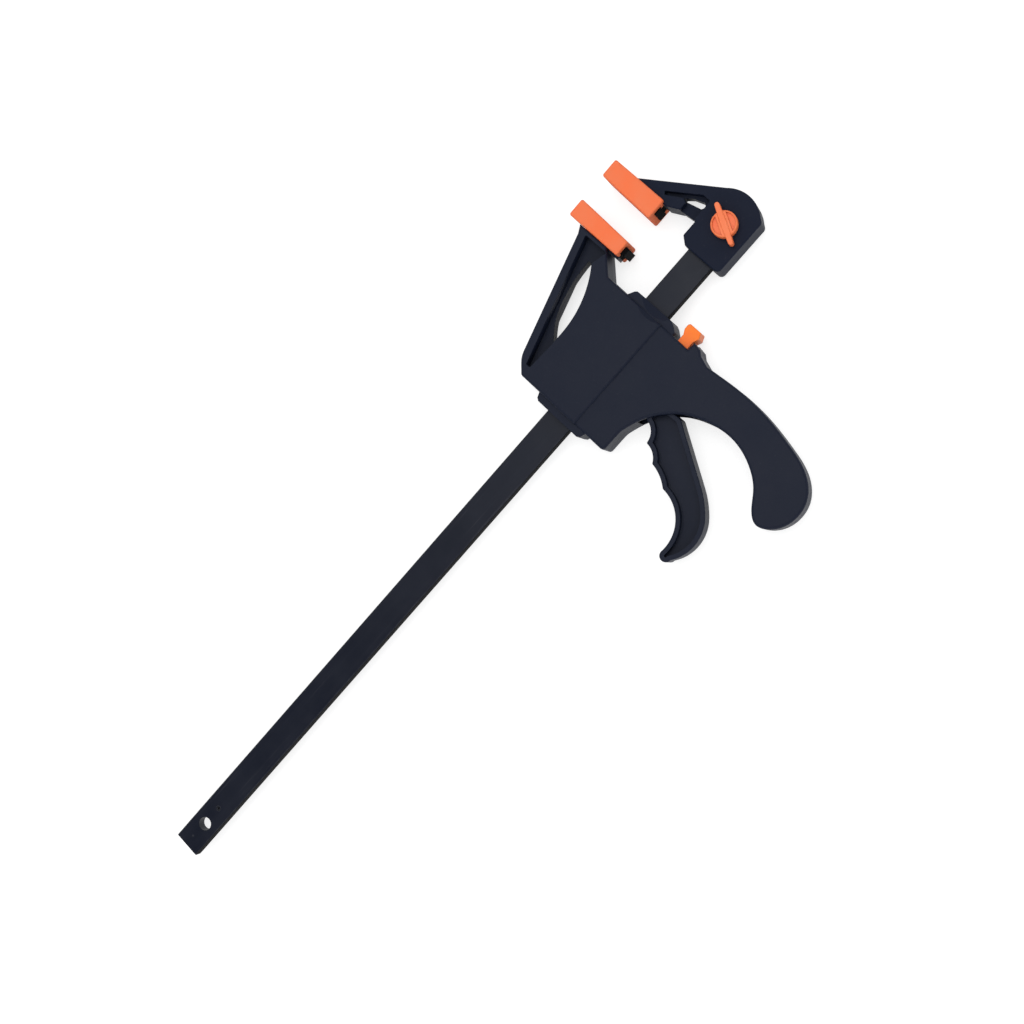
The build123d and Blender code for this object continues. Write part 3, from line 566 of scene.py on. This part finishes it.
cornerDarkening = (0.16, 0.05, 0.03, 1)
softOrange = {
    "paling": (0.35, 0.75),
    "grain": {"Cells_per_metre": 1900.0, "Flow_per_metre": 70.0},
    "grainHeight": 0.00003,
    "wear": {"Width": 0.0008, "Amount": 0.35},
    "worn": (0.95, 0.33, 0.18, 1),
    "dusting": {"Film": 0.0, "Corners": 0.7},
    "rough": (0.2, 0.8, 0.62, 0.78),
    "gloss": 0.35,
    "glow": {"Weight": 0.06, "Radius": (0.002, 0.0006, 0.0003), "Scale": 1.0},
}
hardOrange = {
    "paling": (0.35, 0.7),
    "grain": {"Cells_per_metre": 3200.0, "Flow_per_metre": 110.0},
    "grainHeight": 0.000012,
    "wear": {"Width": 0.0005, "Amount": 0.4},
    "worn": (0.95, 0.34, 0.16, 1),
    "dusting": {"Reach": 0.0012, "Film": 0.0, "Corners": 0.6},
    "rough": (0.2, 0.8, 0.34, 0.48),
    "gloss": 0.3,
    "glow": {},
}
oranges = {
    "orangePad": {"deep": (0.87, 0.165, 0.050, 1), "pale": (0.82, 0.192, 0.078, 1), **softOrange},
    "knobOrange": {"deep": (0.85, 0.172, 0.052, 1), "pale": (0.87, 0.21, 0.08, 1), **hardOrange},
    "buttonOrange": {"deep": (0.92, 0.150, 0.004, 1), "pale": (0.93, 0.200, 0.008, 1), **hardOrange},
}


# Moulded orange: flow marks pale it, corners wear paler still, and its nooks are darker. The
# pads are soft and let a little light in; the knob and the button are hard and smoother.
def orangePlastic(name, look):
    material, tree, shader, place = startMaterial(name)
    grain = useGroup(tree, mouldGrain, Vector=place, **look["grain"])
    dust = useGroup(tree, dustFilm, Vector=place, **look["dusting"])
    wear = useGroup(tree, edgeWear, Vector=place, **look["wear"])
    base = mixColour(tree, ramp(tree, grain["Flow"], *look["paling"]), look["deep"], look["pale"])
    base = mixColour(tree, wear["Wear"], base, look["worn"])
    # the nooks darker, by the ambient occlusion mask
    base = mixColour(tree, dust["Dust"], base, cornerDarkening)
    feed(tree, shader, Base_Color=base, Roughness=ramp(tree, grain["Flow"], *look["rough"]))
    feed(tree, shader, Normal=bumpFrom(tree, grain["Height"], look["grainHeight"], wear["Rounded"]))
    shader.inputs["Specular IOR Level"].default_value = look["gloss"]
    for key, value in look["glow"].items():
        shader.inputs["Subsurface " + key].default_value = value
    return material


finishes = {
    "shellNylon": blackNylon("shellNylon", True, 0.18),
    "headNylon": blackNylon("headNylon", False, 0.10),
    "triggerNylon": blackNylon("triggerNylon", False, 0.20),
    "blackSteel": blackSteel(),
}
for name, look in brightSteels.items():
    finishes[name] = brightSteel(name, **look)
for name, look in oranges.items():
    finishes[name] = orangePlastic(name, look)

wearing = {
    "bar": "blackSteel",
    "bar_stop_pin": "blackSteel",
    "fixed_jaw": "headNylon",
    "fixed_jaw_pad": "orangePad",
    "moving_jaw_pad": "orangePad",
    "jaw_nut": "zincSteel",
    "knob_washer": "zincSteel",
    "head_screw": "zincSteel",
    "head_knob": "knobOrange",
    "trigger": "triggerNylon",
    "trigger_pin": "springSteel",
    "drive_plate_1": "plateSteel",
    "drive_plate_2": "plateSteel",
    "brake_plate": "plateSteel",
    "drive_spring": "springSteel",
    "brake_spring": "springSteel",
    "release_button": "buttonOrange",
    "housing_front": "shellNylon",
    "housing_back": "shellNylon",
    "housing_screws": "zincSteel",
}


def dress(name, finish):
    slots = nodes[name].material_slots
    if len(slots) == 0:
        nodes[name].data.materials.append(finishes[finish])
    for slot in slots:
        slot.material = finishes[finish]


for name, finish in wearing.items():
    dress(name, finish)
print("materials placed on", len(wearing), "parts")


# The stud's length and middle come from the clamp's own screw.
screwThread = {
    "major": 2.95e-3,
    "depth": 0.55e-3,
    "pitch": 1.0e-3,
    "endStep": 0.35e-3,
    "around": 48,
    "perTurn": 12,
}


# Screw thread: radius = major - depth x triangular wave of (height / pitch - angle / full turn).
# It is never more than the root + the distance to the nearer end, so the thread runs out there, and
# each end steps in a little and is closed by a pole.
def makeThread():
    low, high = (np.array(corner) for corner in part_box("head_screw"))
    axis = (low + high)[:2] / 2
    rows = int((high[2] - low[2]) / screwThread["pitch"] * screwThread["perTurn"])
    theta = np.linspace(0, 2 * np.pi, screwThread["around"], endpoint=False)
    height = np.linspace(low[2], high[2], rows)
    angle, z = np.meshgrid(theta, height)
    turns = z / screwThread["pitch"] - angle / (2 * np.pi)
    wave = 1 - np.abs(2 * (turns - np.floor(turns)) - 1)
    nearEnd = np.minimum(z - low[2], high[2] - z)
    radius = screwThread["major"] - screwThread["depth"] * (1 - wave)
    radius = np.minimum(radius, screwThread["major"] - screwThread["depth"] + nearEnd)
    radius[[0, -1]] -= screwThread["endStep"]
    x, y = axis[0] + radius * np.cos(angle), axis[1] + radius * np.sin(angle)
    walls = np.stack([x, y, z], -1)
    poles = [np.tile([axis[0], axis[1], end], (1, len(theta), 1)) for end in (low[2], high[2])]
    return meshFromGrid("screwThread", np.concatenate([poles[0], walls, poles[1]]), closeU=True)


hexNut = {
    "corners": 6,
    "perFlat": 12,
    "chamferStart": 0.955,
    "chamferSlope": 1.732,
    "rise": (0, 0.03, 0.06, 0.1, 0.16, 0.5, 0.84, 0.9, 0.94, 0.97, 1.0),
    "clearance": 0.07e-3,
    "countersink": 0.35e-3,
}


# Hexagon nut: the wall's radius = half the flats / cos(angle from the middle of the flat), but never
# more than a 30 degree cone that starts on each face. The loop round the section closes on itself:
# up the wall, over the top face, down the bore with a countersink at both mouths.
def makeNut():
    low, high = (np.array(corner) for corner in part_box("jaw_nut"))
    axis, tall = (low + high)[:2] / 2, high[2] - low[2]
    flat = (high - low)[:2].min() / 2
    bore = screwThread["major"] + hexNut["clearance"]
    step = 2 * np.pi / hexNut["corners"]
    theta = np.arange(hexNut["corners"] * hexNut["perFlat"]) * step / hexNut["perFlat"]
    wall = flat / np.cos(np.mod(theta, step) - step / 2)
    up = np.array(hexNut["rise"])
    cone = flat * hexNut["chamferStart"] + np.minimum(up, 1 - up) * tall * hexNut["chamferSlope"]
    outer = np.minimum(wall[None, :], cone[:, None])
    mouth = bore + hexNut["countersink"]
    inner = np.array([mouth, bore, bore, mouth])[:, None] + 0 * theta[None, :]
    innerUp = np.array([1, 1 - hexNut["countersink"] / tall, hexNut["countersink"] / tall, 0])
    radius = np.concatenate([outer, inner])
    z = low[2] + tall * np.concatenate([up, innerUp])[:, None] + 0 * radius
    grid = np.stack([axis[0] + radius * np.cos(theta), axis[1] + radius * np.sin(theta), z], -1)
    return meshFromGrid("hexNut", grid, closeU=True, closeV=True)


# The wire's travel is how far the moving end goes at its joint's limit.
coilSprings = {
    "driveSpring": {
        "node": "drive_spring",
        "joint": "drive_stroke",
        "turns": 8.0,
        "wire": 0.9e-3,
        "travel": 5.35e-3,
    },
    "brakeSpring": {
        "node": "brake_spring",
        "joint": "release_press",
        "turns": 4.5,
        "wire": 0.7e-3,
        "travel": 1.95e-3,
    },
}
coilGrid = {
    "perTurn": 28,
    "around": 12,
    "endShare": 0.98,  # the wire's thickness at its two cut ends
}


# Coil spring: a round wire on a helix about X. Its first and last turns lie closed, one wire apart,
# and the wire climbs evenly between them. A point is the helix point + half the wire x (cos of the
# section's angle along the radius + sin of it along X), and a pole closes each cut end.
def makeCoil(name, node, turns, wire):
    low, high = (np.array(corner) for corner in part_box(node))
    middle = (low + high) / 2
    mean = ((high - low)[1:].min() - wire) / 2
    climb = high[0] - low[0] - wire
    turn = np.linspace(0, turns, int(turns * coilGrid["perTurn"]) + 1)[:, None]
    along = np.interp(turn, [0, 1, turns - 1, turns], [0, wire, climb - wire, climb])
    around = np.linspace(0, 2 * np.pi, coilGrid["around"], endpoint=False)[None, :]
    inset = np.where((turn > 0) & (turn < turns), 1.0, coilGrid["endShare"])
    reach = mean + inset * wire / 2 * np.cos(around)
    x = low[0] + wire / 2 + along + inset * wire / 2 * np.sin(around)
    y = middle[1] + reach * np.cos(2 * np.pi * turn)
    z = middle[2] + reach * np.sin(2 * np.pi * turn)
    walls = np.stack([x, y, z], -1)
    poles = walls[[0, -1]].mean(1, keepdims=True).repeat(coilGrid["around"], 1)
    return meshFromGrid(name, np.concatenate([poles[:1], walls, poles[1:]]), closeU=True)


def placePiece(piece, body, node, finish):
    closeAndTurnOut(piece)
    piece.data.materials.append(finishes[finish])
    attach(piece, body)
    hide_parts(node)


placePiece(makeThread(), "knob", "head_screw", "zincSteel")
placePiece(makeNut(), "bar_and_head", "jaw_nut", "zincSteel")
print("screw thread and nut made")

for name, coil in coilSprings.items():
    spring = makeCoil(name, coil["node"], coil["turns"], coil["wire"])
    placePiece(spring, "carriage", coil["node"], "springSteel")
    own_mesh(spring)
print("springs made")


studio = {
    "white": (1, 1, 1, 1),
    "floorSize": 3.0,
    "floorMiddle": 0.2,
    "floorLines": 9,
    "floorDrop": 0.0003,
    "floorColour": (0.44, 0.44, 0.44, 1),
    "floorLift": 0.7,
    "skyLight": 0.74,
    "skyFade": (0.15, 0.85),  # from this height to this one
    "skyOverhead": 0.08,
}


# A matt grey that takes the shadows, lifted to white where it is seen straight or in gloss.
def paleFloor():
    material = bpy.data.materials.new("paleFloor")
    material.use_nodes = True
    tree = material.node_tree
    tree.nodes.clear()
    out = addNode(tree, "ShaderNodeOutputMaterial")
    lit = addNode(tree, "ShaderNodeBsdfDiffuse")
    feed(tree, lit, Color=studio["floorColour"])
    lift = addNode(tree, "ShaderNodeEmission")
    feed(tree, lift, Color=studio["white"])
    path = addNode(tree, "ShaderNodeLightPath").outputs
    mirrored = maths(tree, "MAXIMUM", path["Is Glossy Ray"], path["Is Transmission Ray"])
    seen = maths(tree, "MAXIMUM", path["Is Camera Ray"], mirrored)
    feed(tree, lift, Strength=times(tree, seen, studio["floorLift"]))
    both = addNode(tree, "ShaderNodeAddShader")
    tree.links.new(lit.outputs[0], both.inputs[0])
    tree.links.new(lift.outputs[0], both.inputs[1])
    tree.links.new(both.outputs[0], out.inputs["Surface"])
    return material


# A flat square just under the lowest point of the clamp.
def layFloor():
    low = cadBox[0][2] - studio["floorDrop"]
    share = np.linspace(-0.5, 0.5, studio["floorLines"])
    u, v = np.meshgrid(share, share)
    x, y = u * studio["floorSize"] + studio["floorMiddle"], v * studio["floorSize"]
    grid = np.stack([x, y, np.full_like(u, low)], -1)
    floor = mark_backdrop(meshFromGrid("benchFloor", grid)) or bpy.data.objects["benchFloor"]
    floor.data.materials.append(paleFloor())


# White to the eye; in gloss it is white at the horizon and dimmer overhead; soft grey as light.
def paintSky():
    world = bpy.data.worlds.new("studioSky")
    scene.world = world
    world.use_nodes = True
    tree = world.node_tree
    tree.nodes.clear()
    out = addNode(tree, "ShaderNodeOutputWorld")
    sky = addNode(tree, "ShaderNodeBackground")
    path = addNode(tree, "ShaderNodeLightPath").outputs
    height = split(tree, addNode(tree, "ShaderNodeTexCoord").outputs["Generated"])["Z"]
    gloss = ramp(tree, height, *studio["skyFade"], 1.0, studio["skyOverhead"])
    mirrored = maths(tree, "MAXIMUM", path["Is Glossy Ray"], path["Is Transmission Ray"])
    level = maths(tree, "ADD", times(tree, gloss, mirrored), path["Is Camera Ray"])
    plain = maths(tree, "SUBTRACT", 1.0, maths(tree, "MAXIMUM", mirrored, path["Is Camera Ray"]))
    level = maths(tree, "ADD", level, times(tree, plain, studio["skyLight"]))
    feed(tree, sky, Color=studio["white"], Strength=level)
    tree.links.new(sky.outputs[0], out.inputs["Surface"])


lamps = {
    "keyLamp": {"place": (0.42, 0.14, 1.12), "aim": (0.30, 0.0, 0.0), "width": 0.7, "power": 4.4},
    "sideLamp": {"place": (-0.10, -0.75, 0.55), "aim": (0.25, 0.0, 0.0), "width": 0.8, "power": 1.6},
}


def hangLamp(name, place, aim, width, power):
    light = bpy.data.lights.new(name, "AREA")
    light.shape = "SQUARE"
    light.size = width
    light.energy = power
    lamp = bpy.data.objects.new(name, light)
    scene.collection.objects.link(lamp)
    lamp.location = place
    lamp.rotation_mode = "QUATERNION"
    lamp.rotation_quaternion = (Vector(aim) - Vector(place)).to_track_quat("-Z", "Y")


layFloor()
paintSky()
for name, lamp in lamps.items():
    hangLamp(name, **lamp)
scene.view_settings.view_transform = "Standard"
print("floor, sky and lamps set")
